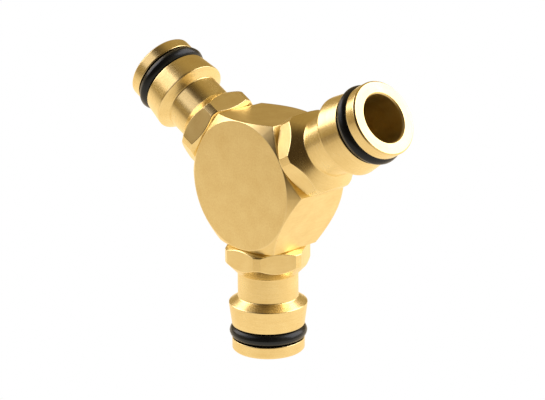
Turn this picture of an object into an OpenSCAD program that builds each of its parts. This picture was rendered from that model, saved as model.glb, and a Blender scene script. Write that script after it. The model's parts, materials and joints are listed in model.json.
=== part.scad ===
// Three-way male quick-connect coupling for garden and workshop hose.
// A chamfered hexagonal hub carries three screwed-in nipples, 120 degrees apart in the XZ plane.
// The origin is where the three port axes cross; the bottom nipple points down -Z, and the
// round front face of the hub looks along -Y.

/* [Hub] */
// Width of the hub across its flats
hub_af = 28.6; // [28:0.1:32]
// Thickness of the hub between its two round faces
hub_thickness = 16.8; // [16.4:0.1:20]
// Diameter of each round face, where the corner chamfer starts
hub_face_d = 28.4; // [26:0.1:28.5]
// Angle of the corner chamfer, measured from the round face
hub_chamfer_angle = 40; // [20:1:42]

/* [Ports] */
// Major diameter of the screw thread
thread_d = 14; // [13.6:0.1:14.2]
// Pitch of the screw thread
thread_pitch = 1; // [0.75:0.05:1.25]
// Depth of each tapped port below its flat
port_depth = 9; // [8.6:0.1:9.6]
// Length of the stub on a nipple, from its seat to its end
stub_length = 8.5; // [7.5:0.1:8.5]
// Diameter of the waterway through hub and nipples
bore_d = 10.5; // [9:0.1:10.6]
// Diameter of the spherical chamber where the waterways meet
chamber_d = 12.6; // [12.5:0.1:13]

/* [Port seal] */
// Diameter of the recess around each port's mouth
recess_d = 15.4; // [15.3:0.1:15.6]
// Depth of that recess
recess_depth = 1.3; // [1.2:0.05:1.6]

/* [Collar] */
// Width of the hexagonal collar across its flats
collar_af = 17.2; // [16.6:0.1:18]
// Diameter to which the collar's corners are turned
collar_d = 18.95; // [18.2:0.05:19.1]
// Diameter of the seat that bears on the hub
seat_d = 15.86; // [15.7:0.02:16.2]
// Angle of the chamfer between seat and corners, measured from the seat
seat_angle = 34.5; // [20:0.5:40]
// Angle of the cone between corners and neck, measured from the seat
back_angle = 45.8; // [40:0.2:50]
// Height of the collar from the seat to the start of the neck
collar_height = 6.9; // [6.4:0.1:7.5]

/* [Nipple] */
// Diameter of the neck that the coupling's claws drop into
neck_d = 13.4; // [13:0.1:14]
// Distance from the seat to the end of the neck
neck_end = 12.4; // [11.5:0.1:13]
// Diameter of the snap ridge
ridge_d = 17.4; // [16.8:0.1:18]
// Angle of the shoulder below the ridge, measured from the seat
shoulder_angle = 34.5; // [25:0.5:40]
// Width of the cylindrical land on top of the ridge
ridge_land = 0.3; // [0.2:0.05:0.6]
// Diameter of the taper where it reaches the seal groove
taper_d = 16.1; // [15.8:0.1:16.6]
// Diameter of the guide lip at the end of the nipple
lip_d = 16.1; // [15.8:0.1:16.4]
// Length of the guide lip
lip_length = 2.7; // [2:0.1:3]
// Distance from the seat to the end of the nipple
nipple_length = 24.7; // [24:0.1:26]
// Size of the small chamfers at the end of the nipple
edge_break = 0.3; // [0.1:0.05:0.4]

/* [O-ring] */
// Section diameter of the O-ring
oring_section = 2.8; // [2.6:0.05:2.9]
// Outer diameter of the fitted O-ring
oring_d = 17.2; // [17:0.05:17.3]
// Diameter of the bottom of the seal groove
groove_d = 11.9; // [11.8:0.05:12]
// Width of the seal groove
groove_width = 3.1; // [3:0.05:3.3]

/* [Clocking] */
// Turn of the bottom nipple's flats from the hub's front, once tightened
bottom_turn = 0; // [-30:1:30]
// Turn of the left nipple's flats from the hub's front, once tightened
left_turn = 19; // [-30:1:30]
// Turn of the right nipple's flats from the hub's front, once tightened
right_turn = 30; // [-30:1:30]

/* [Hidden] */
$fn = 96;

brass = [0.87, 0.72, 0.43];
black_rubber = [0.07, 0.07, 0.08];
grey_rubber = [0.2, 0.2, 0.22];

// Direction of each port in the XZ plane, from +X towards +Z
port_spacing = 120;
bottom_port = 270;
left_port = bottom_port - port_spacing;
right_port = left_port - port_spacing;

// A cutting tool runs this far past the face that it cuts
overshoot = 1;

seat = hub_af / 2;
hub_corner_r = hub_af / sqrt(3);
collar_corner_r = collar_af / sqrt(3);

// The stub's crests run in the port with a small radial gap
thread_gap = 0.07;
crest_r = thread_d / 2 - thread_gap;
// Depth of a metric external thread, as a share of its pitch
thread_depth_ratio = 0.61;
root_r = crest_r - thread_depth_ratio * thread_pitch;
thread_turns = floor((stub_length - recess_depth) / thread_pitch);

// The port seal keeps this gap to every face around it
seal_gap = 0.05;
// The plain stretch behind the thread, which the port seal sits around
relief_r = 6.25;

// A waterway starts just outside the point where its bore parts from its neighbour's
waterway_gap = 0.1;
waterway_start = bore_d / 2 / tan(port_spacing / 2) + waterway_gap;

ridge_start = neck_end + (ridge_d - neck_d) / 2 * tan(shoulder_angle);
groove_end = nipple_length - lip_length;
groove_start = groove_end - groove_width;
oring_middle = nipple_length - lip_length - groove_width / 2;

// Places children on a port: local +Z is the port's outward axis and local Z = 0 is the hub's
// centre. Local -Y stays the hub's front, so turns are counted from there.
module at_port(direction) {
    rotate([0, 90 - direction, 0]) children();
}

// As at_port, with local Z = 0 on the flat of the hub, where the nipple seats.
module at_seat(direction) {
    at_port(direction) translate([0, 0, seat]) children();
}

// A disc with both rims chamfered, its axis along Y: the turned envelope of the hub.
module turned_blank() {
    envelope_r = hub_corner_r + overshoot;
    half = hub_thickness / 2;
    chamfer = (envelope_r - hub_face_d / 2) * tan(hub_chamfer_angle);
    rotate([90, 0, 0]) rotate_extrude() polygon([
        [0, -half],
        [hub_face_d / 2, -half],
        [envelope_r, chamfer - half],
        [envelope_r, half - chamfer],
        [hub_face_d / 2, half],
        [0, half]
    ]);
}

// The hexagonal bar of the hub, its axis along Y and a flat under each port.
module hub_bar() {
    bar_length = hub_thickness + 2 * overshoot;
    rotate([90, 0, 0]) cylinder(r = hub_corner_r, h = bar_length, center = true, $fn = 6);
}

// What is cut out of the hub for one port: waterway, tapped hole and seal recess.
module port_tool() {
    port_bottom = seat - port_depth;
    waterway_length = port_bottom - waterway_start + overshoot;
    translate([0, 0, waterway_start]) cylinder(d = bore_d, h = waterway_length);
    translate([0, 0, port_bottom]) cylinder(d = thread_d, h = port_depth + overshoot);
    translate([0, 0, seat - recess_depth]) cylinder(d = recess_d, h = recess_depth + overshoot);
}

module hub() {
    color(brass) difference() {
        intersection() {
            hub_bar();
            turned_blank();
        }
        sphere(d = chamber_d);
        for (direction = [bottom_port, left_port, right_port]) at_port(direction) port_tool();
    }
}

// Outline of the stub's thread from its end up to the relief, as [radius, height] points.
function thread_outline() = [
    for (turn = [0 : thread_turns - 1], half = [0, 1])
        [half == 0 ? root_r : crest_r, (turn + half / 2) * thread_pitch - stub_length]
];

// Outline of everything that the lathe turns on one nipple, from the stub's end to the tip.
function nipple_outline() = concat(
    [[0, -stub_length]],
    thread_outline(),
    [
        [root_r, thread_turns * thread_pitch - stub_length],
        [relief_r, -recess_depth],
        [relief_r, 0],
        [seat_d / 2, 0],
        [collar_d / 2, (collar_d - seat_d) / 2 * tan(seat_angle)],
        [collar_d / 2, collar_height - (collar_d - neck_d) / 2 * tan(back_angle)],
        [neck_d / 2, collar_height],
        [neck_d / 2, neck_end],
        [ridge_d / 2, ridge_start],
        [ridge_d / 2, ridge_start + ridge_land],
        [taper_d / 2, groove_start],
        [groove_d / 2, groove_start],
        [groove_d / 2, groove_end],
        [lip_d / 2, groove_end],
        [lip_d / 2, nipple_length - edge_break],
        [lip_d / 2 - edge_break, nipple_length],
        [0, nipple_length]
    ]
);

// Mills the six flats of the collar: a round block with a hexagonal hole.
module flat_cutter() {
    hole_length = collar_height + 2 * overshoot;
    difference() {
        cylinder(r = collar_d / 2 + overshoot, h = collar_height);
        translate([0, 0, -overshoot]) cylinder(r = collar_corner_r, h = hole_length, $fn = 6);
    }
}

// A nipple in its own frame: seat at Z = 0, tip at +Z, stub below.
module nipple(turn) {
    bore_r = bore_d / 2;
    bore_length = stub_length + nipple_length + 2 * overshoot;
    mouth_length = edge_break + overshoot;
    color(brass) difference() {
        rotate_extrude() polygon(nipple_outline());
        rotate([0, 0, turn]) flat_cutter();
        translate([0, 0, -stub_length - overshoot]) cylinder(r = bore_r, h = bore_length);
        translate([0, 0, nipple_length - edge_break])
            cylinder(r1 = bore_r, r2 = bore_r + mouth_length, h = mouth_length);
    }
}

// The black ring in the seal groove, flattened where it grips the groove's bottom.
module o_ring() {
    color(black_rubber) translate([0, 0, oring_middle]) difference() {
        rotate_extrude() translate([(oring_d - oring_section) / 2, 0]) circle(d = oring_section);
        cylinder(d = groove_d, h = groove_width, center = true);
    }
}

// The flat ring that seals a nipple's stub to the hub, hidden in the recess under the collar.
module port_seal() {
    height = recess_depth - 2 * seal_gap;
    color(grey_rubber) translate([0, 0, seal_gap - recess_depth]) difference() {
        cylinder(d = recess_d - 2 * seal_gap, h = height);
        translate([0, 0, -overshoot]) cylinder(r = relief_r + seal_gap, h = height + 2 * overshoot);
    }
}

module nipple_bottom() at_seat(bottom_port) nipple(bottom_turn);
module nipple_left() at_seat(left_port) nipple(left_turn);
module nipple_right() at_seat(right_port) nipple(right_turn);
module o_ring_bottom() at_seat(bottom_port) o_ring();
module o_ring_left() at_seat(left_port) o_ring();
module o_ring_right() at_seat(right_port) o_ring();
module port_seal_bottom() at_seat(bottom_port) port_seal();
module port_seal_left() at_seat(left_port) port_seal();
module port_seal_right() at_seat(right_port) port_seal();

hub();
nipple_bottom();
nipple_left();
nipple_right();
o_ring_bottom();
o_ring_left();
o_ring_right();
port_seal_bottom();
port_seal_left();
port_seal_right();
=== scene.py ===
"""Looks of a three-way brass hose coupling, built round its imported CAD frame.

The hub, nipples, O-rings and port seals are remade here with rounded edges, real screw threads
and machined surfaces. Each piece sits where its CAD node sits and moves with the same body.
"""

import json
import math

import bmesh
import bpy
import numpy as np
from mathutils import Matrix, Vector


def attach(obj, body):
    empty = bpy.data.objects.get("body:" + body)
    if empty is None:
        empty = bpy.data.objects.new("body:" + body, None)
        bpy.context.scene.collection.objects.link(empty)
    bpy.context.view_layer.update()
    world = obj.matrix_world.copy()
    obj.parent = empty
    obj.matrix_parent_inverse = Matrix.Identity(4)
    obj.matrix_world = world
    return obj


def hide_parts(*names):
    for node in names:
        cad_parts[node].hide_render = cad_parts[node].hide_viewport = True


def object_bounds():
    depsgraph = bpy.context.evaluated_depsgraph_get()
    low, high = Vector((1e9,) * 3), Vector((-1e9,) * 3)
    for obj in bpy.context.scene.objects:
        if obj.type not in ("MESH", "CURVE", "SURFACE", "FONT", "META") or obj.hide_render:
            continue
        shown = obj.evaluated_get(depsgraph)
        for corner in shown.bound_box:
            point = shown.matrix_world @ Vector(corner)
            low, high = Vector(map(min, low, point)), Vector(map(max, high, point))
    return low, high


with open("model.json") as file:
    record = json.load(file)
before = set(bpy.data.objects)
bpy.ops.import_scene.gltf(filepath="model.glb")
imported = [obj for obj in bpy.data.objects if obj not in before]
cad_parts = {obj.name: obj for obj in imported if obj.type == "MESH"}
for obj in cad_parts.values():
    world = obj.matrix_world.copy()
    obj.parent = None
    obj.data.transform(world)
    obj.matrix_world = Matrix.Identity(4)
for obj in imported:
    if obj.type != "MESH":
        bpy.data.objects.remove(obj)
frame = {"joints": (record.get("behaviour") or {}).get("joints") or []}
cad_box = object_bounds()

# ---------------------------------------------------------------------------------------------
# Sizes in millimetres, the same as the CAD solids have. Heights on a port count outwards from
# the flat of the hub; radii are about the port's axis.
# ---------------------------------------------------------------------------------------------
MM = 0.001

HUB_AF = 28.6
HUB_HALF = 8.4
HUB_FACE_R = 14.2
HUB_CHAMFER = math.radians(40)
CHAMBER_R = 6.3
PORT_DEPTH = 9.0
RECESS_R = 7.7
RECESS_DEPTH = 1.3
SEAT = HUB_AF / 2

PITCH = 1.0
CREST_R = 6.93
ROOT_R = 6.32
TAP_MAJOR_R = 7.0
STUB = 8.5
RELIEF_R = 6.25

BORE_R = 5.25
SEAT_R = 7.93
SEAT_ANGLE = math.radians(34.5)
COLLAR_AF = 17.2
COLLAR_R = 9.475
COLLAR_HEIGHT = 6.9
BACK_ANGLE = math.radians(45.8)
NECK_R = 6.7
NECK_END = 12.4
RIDGE_R = 8.7
SHOULDER_ANGLE = math.radians(34.5)
RIDGE_LAND = 0.3
TAPER_R = 8.05
GROOVE_R = 5.95
GROOVE_START = 18.9
GROOVE_END = 22.0
LIP_R = 8.05
TIP = 24.7
TIP_CHAMFER = 0.3

O_RING_SECTION_R = 1.4
O_RING_CENTRE_R = 7.2
SEAL_OUTER_R = 7.65
SEAL_INNER_R = 6.3
SEAL_LOW = -1.25
SEAL_HIGH = -0.05

# Degrees from the hub's front to a flat of each nipple's collar, once screwed tight
FLAT_TURN = {"bottom": 0, "left": 19, "right": 30}

# Material slots of a brass mesh
TURNED, MILLED, BORED, FACED = 0, 1, 2, 3

# From one flat of a hexagon to the next
HEX_STEP = math.radians(60)


# ---------------------------------------------------------------------------------------------
# Mesh tools
# ---------------------------------------------------------------------------------------------
# Rounding of outer and of inner edges, in millimetres
EDGE = 0.12
INNER_EDGE = 0.2
ARC_STEPS = 2
# A row this far from a rounding keeps the straight beside it straight
SUPPORT_GAP = 0.2
# The most of a straight that a rounding may take, and then its support row
ROUNDING_SHARE = 0.3
SUPPORT_SHARE = 0.15
# Points closer than this are welded, in metres
WELD = 1e-7


def round_corner(before, corner, after, radius):
    """Rows that replace one corner of an outline: a support row, an arc, and a support row."""
    back, ahead = before - corner, after - corner
    back_length, ahead_length = np.linalg.norm(back), np.linalg.norm(ahead)
    back, ahead = back / back_length, ahead / ahead_length
    half = math.acos(np.clip(np.dot(back, ahead), -1, 1)) / 2
    most = ROUNDING_SHARE * min(back_length, ahead_length)
    reach = min(radius / math.tan(half), most)
    middle = (back + ahead) / np.linalg.norm(back + ahead)
    centre = corner + middle * reach / math.cos(half)
    start, end = corner + back * reach - centre, corner + ahead * reach - centre
    sweep = math.pi - 2 * half
    rows = [corner + back * (reach + min(SUPPORT_GAP, SUPPORT_SHARE * back_length))]
    for step in range(ARC_STEPS + 1):
        share = step / ARC_STEPS
        weights = math.sin((1 - share) * sweep), math.sin(share * sweep)
        rows.append(centre + (weights[0] * start + weights[1] * end) / math.sin(sweep))
    rows.append(corner + ahead * (reach + min(SUPPORT_GAP, SUPPORT_SHARE * ahead_length)))
    return rows


def rounded_rows(outline):
    """Turns a closed outline of (radius, height, rounding, slot) into rows, slots and wear.

    A rounding of 0 leaves the point as it is. The slot is the material of the stretch that
    follows the point. Wear is 1 on rounded outer edges, 0 elsewhere.
    """
    points = [np.array(point[:2], float) for point in outline]
    rows, slots, wear = [], [], []
    for index, (_, _, rounding, slot) in enumerate(outline):
        before, corner, after = points[index - 1], points[index], points[(index + 1) % len(points)]
        if rounding == 0:
            rows.append(corner)
            slots.append(slot)
            wear.append(0.0)
            continue
        new_rows = round_corner(before, corner, after, rounding)
        (ax, ay), (bx, by) = corner - before, after - corner
        outer_edge = float(ax * by - ay * bx > 0)
        rows += new_rows
        slots += [outline[index - 1][3]] + [slot] * (len(new_rows) - 1)
        wear += [0.0] + [outer_edge] * (len(new_rows) - 2) + [0.0]
    return rows, slots, wear


def skin(name, columns, slots, wear, materials):
    """A closed mesh over columns of (x, y, z) rows in millimetres; both ways round it joins up."""
    count, rows = len(columns), len(columns[0])
    mesh = bpy.data.meshes.new(name)
    points = np.array(columns, float).reshape(-1, 3) * MM
    faces = []
    for column in range(count):
        here, beside = column * rows, (column + 1) % count * rows
        for row in range(rows):
            following = (row + 1) % rows
            faces.append((here + row, beside + row, beside + following, here + following))
    mesh.from_pydata(points.tolist(), [], faces)
    mesh.attributes.new("wear", "FLOAT", "POINT").data.foreach_set("value", np.ravel(wear))
    for material in materials:
        mesh.materials.append(material)
    mesh.polygons.foreach_set("material_index", np.ravel(slots).astype(np.int32))
    mesh.polygons.foreach_set("use_smooth", np.ones(len(faces), bool))
    mesh.update()
    piece = bpy.data.objects.new(name, mesh)
    bpy.context.scene.collection.objects.link(piece)
    return piece


def lathe(name, outline_at, angles, materials):
    """A skin round local Z, from a closed outline that may change with the angle."""
    columns, slots, wear = [], [], []
    for angle in angles:
        rows, row_slots, row_wear = rounded_rows(outline_at(angle))
        columns.append([(r * math.cos(angle), r * math.sin(angle), h) for r, h in rows])
        slots.append(row_slots)
        wear.append(row_wear)
    return skin(name, columns, slots, wear, materials)


def even_angles(count):
    return [2 * math.pi * step / count for step in range(count)]


def keep_flats_flat(piece, sharp_degrees):
    """Smooth shading that follows the large faces; edges above this angle stay sharp."""
    piece.data.set_sharp_from_angle(angle=math.radians(sharp_degrees))
    modifier = piece.modifiers.new("flat_faces", "WEIGHTED_NORMAL")
    modifier.keep_sharp = True


def angle_from_flat(angle):
    """How far an angle is from the middle of the nearest flat of a hexagon with a flat at 0."""
    return (angle + HEX_STEP / 2) % HEX_STEP - HEX_STEP / 2


# ---------------------------------------------------------------------------------------------
# Screw thread: a right-hand helix, so its phase grows with height and falls with angle
# ---------------------------------------------------------------------------------------------
ROWS_PER_TURN = 16
# Minor radius of the tapped holes, which are plain in the CAD solids
TAP_MINOR_R = 6.42
# Wide and narrow flats of the threads, as shares of the pitch
WIDE_FLAT = 0.25
NARROW_FLAT = 0.125


def thread_radius(height, angle, root, crest, root_flat, crest_flat):
    """Radius of a trapezoid thread; the flats are shares of the pitch."""
    phase = (height / PITCH - angle / (2 * math.pi)) % 1
    from_crest = abs(phase - 0.5)
    flank = 0.5 - root_flat / 2 - crest_flat / 2
    rise = np.clip((0.5 - root_flat / 2 - from_crest) / flank, 0, 1)
    return root + (crest - root) * rise


def thread_heights(low, high):
    count = round((high - low) / PITCH * ROWS_PER_TURN)
    return [low + (high - low) * step / count for step in range(count + 1)]


# ---------------------------------------------------------------------------------------------
# Nipple
# ---------------------------------------------------------------------------------------------
# Radius of the stub's chamfered end
STUB_END_R = 6.22
# The thread stops this far short of the relief
THREAD_GAP = 0.1


def stub_outline(angle):
    """The threaded stub, from its chamfered end to the relief under the collar."""
    points = []
    for height in thread_heights(-STUB, -RECESS_DEPTH - THREAD_GAP):
        radius = thread_radius(height, angle, ROOT_R, CREST_R, WIDE_FLAT, NARROW_FLAT)
        lead_in = STUB_END_R + height + STUB
        run_out = RELIEF_R - RECESS_DEPTH - height
        points.append((min(radius, lead_in, run_out), height, 0, TURNED))
    return points


def nipple_outline(angle):
    """Closed outline of a nipple, with a flat of its collar facing local -Y (angle -90)."""
    across = COLLAR_AF / 2 / math.cos(angle_from_flat(angle + math.pi / 2))
    edge_r = min(COLLAR_R, across)
    side = MILLED if across < COLLAR_R else TURNED
    seat_edge = (edge_r - SEAT_R) * math.tan(SEAT_ANGLE)
    back_edge = COLLAR_HEIGHT - (edge_r - NECK_R) * math.tan(BACK_ANGLE)
    ridge_start = NECK_END + (RIDGE_R - NECK_R) * math.tan(SHOULDER_ANGLE)
    return [
        (BORE_R, -STUB, EDGE, TURNED),
        *stub_outline(angle),
        (RELIEF_R, -RECESS_DEPTH, 0, TURNED),
        (RELIEF_R, 0, INNER_EDGE, TURNED),
        (SEAT_R, 0, EDGE, TURNED),
        (edge_r, seat_edge, EDGE, side),
        (edge_r, back_edge, EDGE, TURNED),
        (NECK_R, COLLAR_HEIGHT, INNER_EDGE, TURNED),
        (NECK_R, NECK_END, INNER_EDGE, TURNED),
        (RIDGE_R, ridge_start, EDGE, TURNED),
        (RIDGE_R, ridge_start + RIDGE_LAND, EDGE, TURNED),
        (TAPER_R, GROOVE_START, EDGE, TURNED),
        (GROOVE_R, GROOVE_START, INNER_EDGE, TURNED),
        (GROOVE_R, GROOVE_END, INNER_EDGE, TURNED),
        (LIP_R, GROOVE_END, EDGE, TURNED),
        (LIP_R, TIP - TIP_CHAMFER, EDGE, TURNED),
        (LIP_R - TIP_CHAMFER, TIP, EDGE, TURNED),
        (BORE_R + TIP_CHAMFER, TIP, EDGE, BORED),
        (BORE_R, TIP - TIP_CHAMFER, EDGE, BORED),
    ]


def nipple_angles():
    """Angles round a nipple: even steps, with close ones where a flat meets a turned corner."""
    meeting = math.degrees(math.acos(COLLAR_AF / 2 / COLLAR_R))
    on_flat = [5, 10, 15, 20]
    at_meeting = [meeting + offset for offset in (-1, -0.25, 0, 0.25, 1)]
    on_corner = [27.7]
    side = on_flat + at_meeting + on_corner
    sector = [-30] + [-angle for angle in reversed(side)] + [0] + side
    return [math.radians(60 * flat + angle - 90) for flat in range(6) for angle in sector]


# ---------------------------------------------------------------------------------------------
# Rubber rings
# ---------------------------------------------------------------------------------------------
# The faint moulding line of an O-ring
FLASH_HEIGHT = 0.03
FLASH_WIDTH = 0.09
# Degrees round an O-ring's section, from the groove's floor to the moulding line
O_RING_STEPS = (-172, -160, -145, -130, -112, -94, -76, -58, -42, -27, -14, -5, -2.5, 0)


def o_ring_outline(angle):
    """The O-ring's section: round, with a faint moulding line, and flat on the groove's floor."""
    middle = (GROOVE_START + GROOVE_END) / 2
    points = []
    for step in (*O_RING_STEPS, *(-step for step in reversed(O_RING_STEPS[:-1]))):
        turn = math.radians(step)
        height = O_RING_SECTION_R * math.sin(turn)
        is_outer = abs(step) < 90
        flash = FLASH_HEIGHT * math.exp(-(height / FLASH_WIDTH) ** 2) if is_outer else 0
        radius = O_RING_CENTRE_R + O_RING_SECTION_R * math.cos(turn) + flash - FLASH_HEIGHT / 2
        points.append((max(radius, GROOVE_R), middle + height, 0, 0))
    return points


def port_seal_outline(angle):
    return [
        (SEAL_INNER_R, SEAL_LOW, INNER_EDGE, 0),
        (SEAL_OUTER_R, SEAL_LOW, INNER_EDGE, 0),
        (SEAL_OUTER_R, SEAL_HIGH, INNER_EDGE, 0),
        (SEAL_INNER_R, SEAL_HIGH, INNER_EDGE, 0),
    ]


# ---------------------------------------------------------------------------------------------
# Hub
# ---------------------------------------------------------------------------------------------
HUB_CORNER_ROUNDING = 0.3
COLUMNS_PER_FLAT = 19
# Radii of the rings of points within each round face
FACE_RINGS = (5, 10)
# A waterway starts this far from the hub's centre, inside the chamber
WATERWAY_START = 3.2
# The countersink where a thread meets its recess is this much wider than the thread, all round
COUNTERSINK = 0.1
# A cutter runs this far past the flat that it cuts
OVERSHOOT = 1.0
CHAMBER_ROWS = 33


def hub_columns():
    """Directions round the hub's Y axis with the distance to its rounded hexagon, as (x, z)."""
    corner_r = HUB_AF / math.sqrt(3)
    centre_r = corner_r - HUB_CORNER_ROUNDING / math.cos(HEX_STEP / 2)
    half_side = (HUB_AF / 2 - HUB_CORNER_ROUNDING) * math.tan(HEX_STEP / 2)
    points = []
    for flat in range(6):
        turn = flat * HEX_STEP + HEX_STEP / 2
        for share in np.linspace(-1, 1, COLUMNS_PER_FLAT):
            along = share * half_side
            points.append((SEAT * math.cos(turn) - along * math.sin(turn),
                           SEAT * math.sin(turn) + along * math.cos(turn)))
        corner = turn + HEX_STEP / 2
        for share in (0.25, 0.5, 0.75):
            arc = turn + share * HEX_STEP
            points.append((centre_r * math.cos(corner) + HUB_CORNER_ROUNDING * math.cos(arc),
                           centre_r * math.sin(corner) + HUB_CORNER_ROUNDING * math.sin(arc)))
    return points


def hub_outline(reach):
    """Half section of the hub from its back to its front, where its bar reaches this far."""
    depth = (reach - HUB_FACE_R) * math.tan(HUB_CHAMFER)
    back_rings = [(ring, -HUB_HALF, 0, FACED) for ring in (0, *FACE_RINGS)]
    front_rings = [(ring, HUB_HALF, 0, FACED) for ring in (*reversed(FACE_RINGS), 0)]
    return [
        *back_rings,
        (HUB_FACE_R, -HUB_HALF, EDGE, TURNED),
        (reach, depth - HUB_HALF, EDGE, MILLED),
        (reach, HUB_HALF - depth, EDGE, TURNED),
        (HUB_FACE_R, HUB_HALF, EDGE, FACED),
        *front_rings,
    ]


def hub_blank(name, materials):
    """The hub before its ports are cut; local Z is its front, world -Y."""
    columns, slots, wear = [], [], []
    for x, z in hub_columns():
        reach = math.hypot(x, z)
        rows, row_slots, row_wear = rounded_rows(hub_outline(reach))
        columns.append([(r * x / reach, r * z / reach, h) for r, h in rows])
        slots.append(row_slots)
        wear.append(row_wear)
    piece = skin(name, columns, slots, wear, materials)
    weld_poles(piece)
    piece.matrix_world = Matrix.Rotation(math.radians(90), 4, "X")
    return piece


def port_tool_outline(angle):
    """What is cut for one port: waterway, tapped hole, seal recess and a small mouth chamfer."""
    waterway_start = WATERWAY_START - SEAT
    thread = []
    for height in thread_heights(-PORT_DEPTH, -RECESS_DEPTH):
        radius = thread_radius(height, angle, TAP_MINOR_R, TAP_MAJOR_R, NARROW_FLAT, WIDE_FLAT)
        countersink = TAP_MAJOR_R + COUNTERSINK + RECESS_DEPTH + height
        thread.append((max(radius, countersink), height, 0, BORED))
    return [
        (0, waterway_start, 0, BORED),
        (BORE_R, waterway_start, 0, BORED),
        (BORE_R, -PORT_DEPTH, 0, BORED),
        *thread,
        (RECESS_R, -RECESS_DEPTH, 0, BORED),
        (RECESS_R, -EDGE, 0, BORED),
        (RECESS_R + EDGE + OVERSHOOT, OVERSHOOT, 0, BORED),
        (0, OVERSHOOT, 0, BORED),
    ]


def chamber_outline(angle):
    """Outline of the ball-shaped chamber where the waterways meet."""
    return [(CHAMBER_R * math.cos(turn), CHAMBER_R * math.sin(turn), 0, BORED)
            for turn in np.linspace(-math.pi / 2, math.pi / 2, CHAMBER_ROWS)]


def weld_poles(piece):
    """Joins the points that fall together on the axis, and drops the faces between them."""
    shape = bmesh.new()
    shape.from_mesh(piece.data)
    bmesh.ops.remove_doubles(shape, verts=shape.verts, dist=WELD)
    bmesh.ops.dissolve_degenerate(shape, edges=shape.edges, dist=WELD)
    shape.to_mesh(piece.data)
    shape.free()


def carve(piece, cutters):
    """Cuts each closed cutter out of a piece, and removes the cutters."""
    for cutter in cutters:
        modifier = piece.modifiers.new("cut", "BOOLEAN")
        modifier.operation = "DIFFERENCE"
        modifier.solver = "EXACT"
        modifier.object = cutter
    shape = piece.evaluated_get(bpy.context.evaluated_depsgraph_get())
    carved = bpy.data.meshes.new_from_object(shape)
    piece.modifiers.clear()
    piece.data = carved
    for cutter in cutters:
        bpy.data.objects.remove(cutter)


# ---------------------------------------------------------------------------------------------
# Shader nodes
# ---------------------------------------------------------------------------------------------
def add(tree, kind, inputs=None, **settings):
    """Adds a shader node. An input is a socket to link from, or a value to set."""
    node = tree.nodes.new("ShaderNode" + kind)
    for name, value in settings.items():
        setattr(node, name, value)
    for name, value in (inputs or {}).items():
        if isinstance(value, bpy.types.NodeSocket):
            tree.links.new(value, node.inputs[name])
        else:
            node.inputs[name].default_value = value
    return node


def calc(tree, operation, first, second):
    return add(tree, "Math", {0: first, 1: second}, operation=operation).outputs[0]


def weigh(tree, *parts):
    """Sum of (value, weight) parts."""
    terms = [calc(tree, "MULTIPLY", value, weight) for value, weight in parts]
    total = terms[0]
    for term in terms[1:]:
        total = calc(tree, "ADD", total, term)
    return total


def spread(tree, value, low, high):
    """Maps a 0 to 1 value on to low to high."""
    return add(tree, "MapRange", {"Value": value, "To Min": low, "To Max": high}).outputs[0]


def noise(tree, place, scale, detail, roughness):
    """Noise of a (vector, w) place in object space; the scale is in lumps a metre."""
    inputs = {"Vector": place[0], "W": place[1], "Scale": scale, "Detail": detail,
              "Roughness": roughness}
    return add(tree, "TexNoise", inputs, noise_dimensions="4D").outputs["Fac"]


def bump(tree, height, microns, normal=None):
    """Bump of a height that spans this many microns, on top of another bump if given one."""
    inputs = {"Strength": 1.0, "Distance": microns * 1e-6, "Height": height}
    if normal:
        inputs["Normal"] = normal
    return add(tree, "Bump", inputs).outputs[0]


def blend_colors(tree, share, first, second):
    node = add(tree, "Mix", {0: share}, data_type="RGBA")
    for index, color in ((6, first), (7, second)):
        if isinstance(color, bpy.types.NodeSocket):
            tree.links.new(color, node.inputs[index])
        else:
            node.inputs[index].default_value = (*color, 1)
    return node.outputs[2]


def plain_place(tree):
    return add(tree, "TexCoord").outputs["Object"], 0.0


def lathe_place(tree, streak):
    """Place whose noise runs round local Z as tool marks do; streak sets how fast it changes."""
    position = add(tree, "TexCoord").outputs["Object"]
    parts = add(tree, "SeparateXYZ", {0: position}).outputs
    flat = add(tree, "CombineXYZ", {0: parts[0], 1: parts[1]}).outputs[0]
    radius = add(tree, "VectorMath", {0: flat}, operation="LENGTH").outputs["Value"]
    outward = add(tree, "VectorMath", {0: flat}, operation="NORMALIZE").outputs[0]
    turn = add(tree, "SeparateXYZ", {0: outward}).outputs
    around = calc(tree, "MULTIPLY", turn[0], streak * MM)
    vector = add(tree, "CombineXYZ", {0: radius, 1: parts[2], 2: around}).outputs[0]
    return vector, calc(tree, "MULTIPLY", turn[1], streak * MM)


def drawn_place(tree, streak):
    """Place whose noise runs along local Z, as the marks on a drawn bar do."""
    position = add(tree, "TexCoord").outputs["Object"]
    vector = add(tree, "VectorMath", {0: position, 1: (1, 1, streak)}, operation="MULTIPLY")
    return vector.outputs[0], 0.0


def new_material(name):
    material = bpy.data.materials.new(name)
    material.use_nodes = True
    material.node_tree.nodes.clear()
    return material, material.node_tree


# ---------------------------------------------------------------------------------------------
# Brass
# ---------------------------------------------------------------------------------------------
BRASS = (0.985, 0.86, 0.50)
BRASS_DEEP = (0.82, 0.65, 0.31)
BRASS_WORN = (0.96, 0.84, 0.52)

FINE_SCALE = 7000
BAND_SCALE = 2600
SPECKLE_SCALE = 2600
STAIN_SCALE = 260
# The noises stay near their middle, so the tone is stretched to bring out both colours
TONE_LOW, TONE_HIGH = -0.7, 1.7
ROUGHNESS_SPREAD = 0.07
# How far a worn edge turns pale, and how much smoother it is
WEAR_TINT = 0.6
WEAR_POLISH = 0.06


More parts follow.
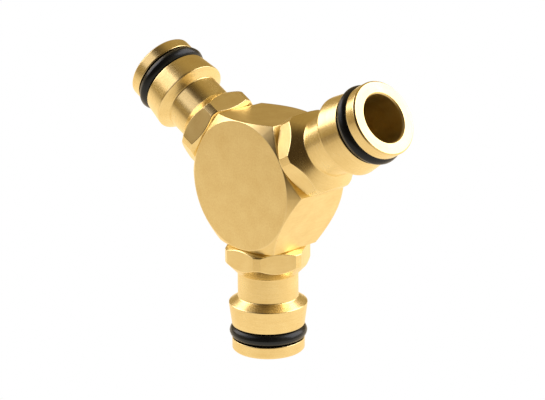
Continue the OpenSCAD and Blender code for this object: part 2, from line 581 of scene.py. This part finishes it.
def brass(name, place, roughness, marks, grain, anisotropy):
    """Machined brass: tool marks along a lay, a fine grain, faint stains, and worn edges.

    The place gives the lay. Marks and grain are the depths of their bumps in microns.
    """
    material, tree = new_material(name)
    lay = place(tree)
    plain = plain_place(tree)
    fine = noise(tree, lay, FINE_SCALE, detail=3, roughness=0.6)
    bands = noise(tree, lay, BAND_SCALE, detail=3, roughness=0.6)
    speckle = noise(tree, plain, SPECKLE_SCALE, detail=4, roughness=0.75)
    stains = noise(tree, plain, STAIN_SCALE, detail=3, roughness=0.55)
    edges = add(tree, "Attribute", attribute_name="wear").outputs["Fac"]

    tone = weigh(tree, (stains, 0.5), (bands, 0.3), (speckle, 0.3))
    body = blend_colors(tree, spread(tree, tone, TONE_LOW, TONE_HIGH), BRASS_DEEP, BRASS)
    color = blend_colors(tree, calc(tree, "MULTIPLY", edges, WEAR_TINT), body, BRASS_WORN)
    gloss = weigh(tree, (fine, 0.5), (stains, 0.5))
    rough = spread(tree, gloss, roughness - ROUGHNESS_SPREAD, roughness + ROUGHNESS_SPREAD)
    rough = calc(tree, "SUBTRACT", rough, calc(tree, "MULTIPLY", edges, WEAR_POLISH))

    lines = bump(tree, fine, marks)
    waves = bump(tree, bands, 2 * marks, lines)
    dots = bump(tree, speckle, grain, waves)
    tangent = add(tree, "Tangent", direction_type="RADIAL", axis="Z")
    shader = add(tree, "BsdfPrincipled", {
        "Base Color": color, "Metallic": 1.0, "Roughness": rough, "Anisotropic": anisotropy,
        "Normal": dots, "Tangent": tangent.outputs[0]})
    output = add(tree, "OutputMaterial")
    tree.links.new(shader.outputs[0], output.inputs[0])
    return material


# ---------------------------------------------------------------------------------------------
# Rubber
# ---------------------------------------------------------------------------------------------
DUST_SCALE = 700
PORE_SCALE = 6000
DUST_SPREAD = 0.08
RUBBER_IOR = 1.52
COOL_GLOSS = (0.60, 0.74, 1.0, 1)


def rubber(name, dark, pale, roughness, pore_depth):
    """Moulded rubber: near black, with a dusty bloom, and pores of a depth in microns."""
    material, tree = new_material(name)
    plain = plain_place(tree)
    dust = noise(tree, plain, DUST_SCALE, detail=4, roughness=0.6)
    pores = noise(tree, plain, PORE_SCALE, detail=2, roughness=0.5)
    color = blend_colors(tree, dust, dark, pale)
    rough = spread(tree, dust, roughness - DUST_SPREAD, roughness + DUST_SPREAD)
    shader = add(tree, "BsdfPrincipled", {
        "Base Color": color, "Roughness": rough, "IOR": RUBBER_IOR,
        "Normal": bump(tree, pores, pore_depth), "Specular Tint": COOL_GLOSS})
    output = add(tree, "OutputMaterial")
    tree.links.new(shader.outputs[0], output.inputs[0])
    return material


# ---------------------------------------------------------------------------------------------
# Building the pieces
# ---------------------------------------------------------------------------------------------
O_RING_SIDES = 120
SEAL_SIDES = 96
PORT_SIDES = 96
CHAMBER_SIDES = 64

PORTS = {joint["name"].removesuffix("_unscrew"): joint
         for joint in frame["joints"] if joint["name"].endswith("_unscrew")}


def port_matrix(port, turn=0):
    """Local Z points out of the hub along the port, from its flat; local -Y is the front."""
    axis = Vector(PORTS[port]["axis"])
    lean = math.atan2(axis.x, axis.z)
    seat = Matrix.Translation(Vector(PORTS[port]["pos_m"]))
    return seat @ Matrix.Rotation(lean, 4, "Y") @ Matrix.Rotation(math.radians(turn), 4, "Z")


def stand_for(piece, node, body):
    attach(piece, body)
    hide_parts(node)


def build_nipple(port, materials):
    piece = lathe(f"nipple_{port}_turned", nipple_outline, nipple_angles(), materials)
    piece.matrix_world = port_matrix(port, FLAT_TURN[port])
    keep_flats_flat(piece, sharp_degrees=75)
    stand_for(piece, f"nipple_{port}", f"{port}_nipple")


def build_o_ring(port, material):
    angles = even_angles(O_RING_SIDES)
    piece = lathe(f"o_ring_{port}_moulded", o_ring_outline, angles, [material])
    piece.matrix_world = port_matrix(port)
    stand_for(piece, f"o_ring_{port}", f"{port}_nipple")


def build_port_seal(port, material):
    angles = even_angles(SEAL_SIDES)
    piece = lathe(f"port_seal_{port}_moulded", port_seal_outline, angles, [material])
    piece.matrix_world = port_matrix(port)
    keep_flats_flat(piece, sharp_degrees=50)
    stand_for(piece, f"port_seal_{port}", f"{port}_seal_ring")


def build_hub(materials):
    hub = hub_blank("hub_machined", materials)
    cutters = []
    for port in PORTS:
        tool = lathe(f"tool_{port}", port_tool_outline, even_angles(PORT_SIDES), materials)
        weld_poles(tool)
        tool.matrix_world = port_matrix(port, FLAT_TURN[port])
        cutters.append(tool)
    chamber = lathe("tool_chamber", chamber_outline, even_angles(CHAMBER_SIDES), materials)
    weld_poles(chamber)
    chamber.matrix_world = Matrix.Rotation(math.radians(90), 4, "X")
    carve(hub, cutters + [chamber])
    keep_flats_flat(hub, sharp_degrees=40)
    stand_for(hub, "hub", "hub_body")


def turned_place(tree):
    return lathe_place(tree, streak=0.6)


def bored_place(tree):
    return lathe_place(tree, streak=0.3)


def bar_place(tree):
    return drawn_place(tree, streak=0.2)


nipple_metal = [
    brass("brass_turned", turned_place, roughness=0.26, marks=2.0, grain=1.0, anisotropy=0.4),
    brass("brass_milled", turned_place, roughness=0.33, marks=0.8, grain=1.2, anisotropy=0.2),
    brass("brass_bored", bored_place, roughness=0.38, marks=1.5, grain=0.5, anisotropy=0.3),
]
hub_metal = [
    brass("hub_turned", turned_place, roughness=0.34, marks=1.2, grain=1.5, anisotropy=0.3),
    brass("hub_drawn", bar_place, roughness=0.37, marks=0.8, grain=22.0, anisotropy=0.1),
    brass("hub_bored", bored_place, roughness=0.36, marks=1.0, grain=0.3, anisotropy=0.0),
    brass("hub_faced", plain_place, roughness=0.38, marks=0.8, grain=24.0, anisotropy=0.0),
]
o_ring_rubber = rubber("o_ring_black", dark=(0.005, 0.006, 0.009), pale=(0.012, 0.014, 0.019),
                       roughness=0.28, pore_depth=1.5)
port_seal_rubber = rubber("port_seal_grey", dark=(0.022, 0.022, 0.024), pale=(0.05, 0.05, 0.054),
                          roughness=0.6, pore_depth=4)

build_hub(hub_metal)
for port in PORTS:
    build_nipple(port, nipple_metal)
    build_o_ring(port, o_ring_rubber)
    build_port_seal(port, port_seal_rubber)


# ---------------------------------------------------------------------------------------------
# Camera: angles in degrees and distances in millimetres
# ---------------------------------------------------------------------------------------------
CAMERA_AZIMUTH = 44.94
CAMERA_ELEVATION = 16.73
CAMERA_ROLL = -0.404
CAMERA_DISTANCE = 436.33
# Where the camera aims: to the right of the origin and below it, as the camera sees it
AIM_RIGHT = 1.13
AIM_DOWN = 4.71
LENS = 132.87
SENSOR_WIDTH = 36
# In metres
CLIP_START = 0.01


def direction(azimuth, elevation):
    """Unit vector from the object; azimuth 0 is the hub's front, -Y, and 90 is +X."""
    a, e = math.radians(azimuth), math.radians(elevation)
    return Vector((math.sin(a) * math.cos(e), -math.cos(a) * math.cos(e), math.sin(e)))


def make_camera():
    back = direction(CAMERA_AZIMUTH, CAMERA_ELEVATION)
    level_right = Vector((0, 0, 1)).cross(back).normalized()
    level_up = back.cross(level_right)
    roll = math.radians(CAMERA_ROLL)
    right = math.cos(roll) * level_right + math.sin(roll) * level_up
    up = back.cross(right)
    aim = right * AIM_RIGHT * MM - up * AIM_DOWN * MM
    camera = bpy.data.objects.new("camera", bpy.data.cameras.new("camera"))
    camera.data.sensor_width = SENSOR_WIDTH
    camera.data.lens = LENS
    camera.data.clip_start = CLIP_START
    camera.matrix_world = Matrix((right, up, back)).transposed().to_4x4()
    camera.matrix_world.translation = aim + back * CAMERA_DISTANCE * MM
    bpy.context.scene.collection.objects.link(camera)
    bpy.context.scene.camera = camera


# ---------------------------------------------------------------------------------------------
# Floor, surroundings and lights: angles in degrees and distances in metres
# ---------------------------------------------------------------------------------------------
WHITE = (1, 1, 1)

# The floor lies low enough for the bottom nipple to be unscrewed
FLOOR_DROP = 7 * MM
FLOOR_HALF = 2.5
# The light that the floor gives, as (distance from the origin along this azimuth, colour)
FLOOR_AZIMUTH = 20
FLOOR_GLOW = (
    (-0.08, (1.24, 1.01, 0.71)),
    (0.16, (0.66, 0.505, 0.31)),
    (0.40, (0.08, 0.045, 0.015)),
)

SURROUNDINGS = (0.40, 0.28, 0.11)
# A dark patch in the surroundings is whole up to its inner angle and gone at its outer one
DARK_PATCH = (0.045, 0.026, 0.009)
PATCH_AZIMUTH = 24
PATCH_ELEVATION = 40
PATCH_INNER = math.radians(30)
PATCH_OUTER = math.radians(66)

WARM_LIGHT = (1.0, 0.86, 0.74)
LIGHT_DISTANCE = 1.2


def seen_as_white(tree, felt):
    """White to the camera, while another colour lights the object."""
    is_seen = add(tree, "LightPath").outputs["Is Camera Ray"]
    return blend_colors(tree, is_seen, felt, WHITE)


def make_floor():
    """A floor that looks white, gives less light towards the front, and is clear from below."""
    mesh = bpy.data.meshes.new("floor")
    half, low = FLOOR_HALF, cad_box[0].z - FLOOR_DROP
    mesh.from_pydata([(-half, -half, low), (half, -half, low), (half, half, low),
                      (-half, half, low)], [], [(0, 1, 2, 3)])
    material, tree = new_material("floor_paper")
    spot = add(tree, "TexCoord").outputs["Object"]
    front = direction(FLOOR_AZIMUTH, 0)
    forward = add(tree, "VectorMath", {0: spot, 1: front}, operation="DOT_PRODUCT")
    felt = FLOOR_GLOW[0][1]
    for (start, _), (end, color) in zip(FLOOR_GLOW, FLOOR_GLOW[1:]):
        inputs = {"Value": forward.outputs["Value"], "From Min": start, "From Max": end}
        share = add(tree, "MapRange", inputs).outputs[0]
        felt = blend_colors(tree, share, felt, color)
    glow = add(tree, "Emission", {"Color": seen_as_white(tree, felt), "Strength": 1.0})
    from_below = add(tree, "NewGeometry").outputs["Backfacing"]
    mix = add(tree, "MixShader", {0: from_below})
    tree.links.new(glow.outputs[0], mix.inputs[1])
    tree.links.new(add(tree, "BsdfTransparent").outputs[0], mix.inputs[2])
    output = add(tree, "OutputMaterial")
    tree.links.new(mix.outputs[0], output.inputs[0])
    mesh.materials.append(material)
    floor = bpy.data.objects.new("floor", mesh)
    bpy.context.scene.collection.objects.link(floor)


def make_world():
    """Surroundings that look white, and light the object with warm tones and a dark patch."""
    world = bpy.data.worlds.new("studio")
    world.use_nodes = True
    tree = world.node_tree
    tree.nodes.clear()
    sky = add(tree, "TexCoord").outputs["Generated"]
    towards = direction(PATCH_AZIMUTH, PATCH_ELEVATION)
    along = add(tree, "VectorMath", {0: sky, 1: towards}, operation="DOT_PRODUCT")
    inputs = {"Value": along.outputs["Value"], "From Min": math.cos(PATCH_OUTER),
              "From Max": math.cos(PATCH_INNER)}
    patch = add(tree, "MapRange", inputs, interpolation_type="SMOOTHSTEP").outputs[0]
    color = seen_as_white(tree, blend_colors(tree, patch, SURROUNDINGS, DARK_PATCH))
    background = add(tree, "Background", {"Color": color, "Strength": 1.0})
    output = add(tree, "OutputWorld")
    tree.links.new(background.outputs[0], output.inputs[0])
    bpy.context.scene.world = world


def softbox(name, azimuth, elevation, width, height, radiance):
    """A rectangular area light that faces the object, as bright as its radiance at any size."""
    light = bpy.data.lights.new(name, "AREA")
    light.shape = "RECTANGLE"
    light.size, light.size_y = width, height
    light.energy = radiance * math.pi * width * height
    light.color = WARM_LIGHT
    lamp = bpy.data.objects.new(name, light)
    towards = direction(azimuth, elevation)
    facing = towards.to_track_quat("Z", "Y").to_matrix().to_4x4()
    lamp.matrix_world = Matrix.Translation(towards * LIGHT_DISTANCE) @ facing
    bpy.context.scene.collection.objects.link(lamp)


make_camera()
make_floor()
make_world()
softbox("left_softbox", azimuth=-70, elevation=33.5, width=0.76, height=0.82, radiance=2.75)
softbox("front_softbox", azimuth=-32, elevation=39, width=0.70, height=0.84, radiance=1.05)
softbox("back_softbox", azimuth=142, elevation=33, width=1.22, height=1.1, radiance=2.8)
bpy.context.scene.view_settings.view_transform = "Standard"
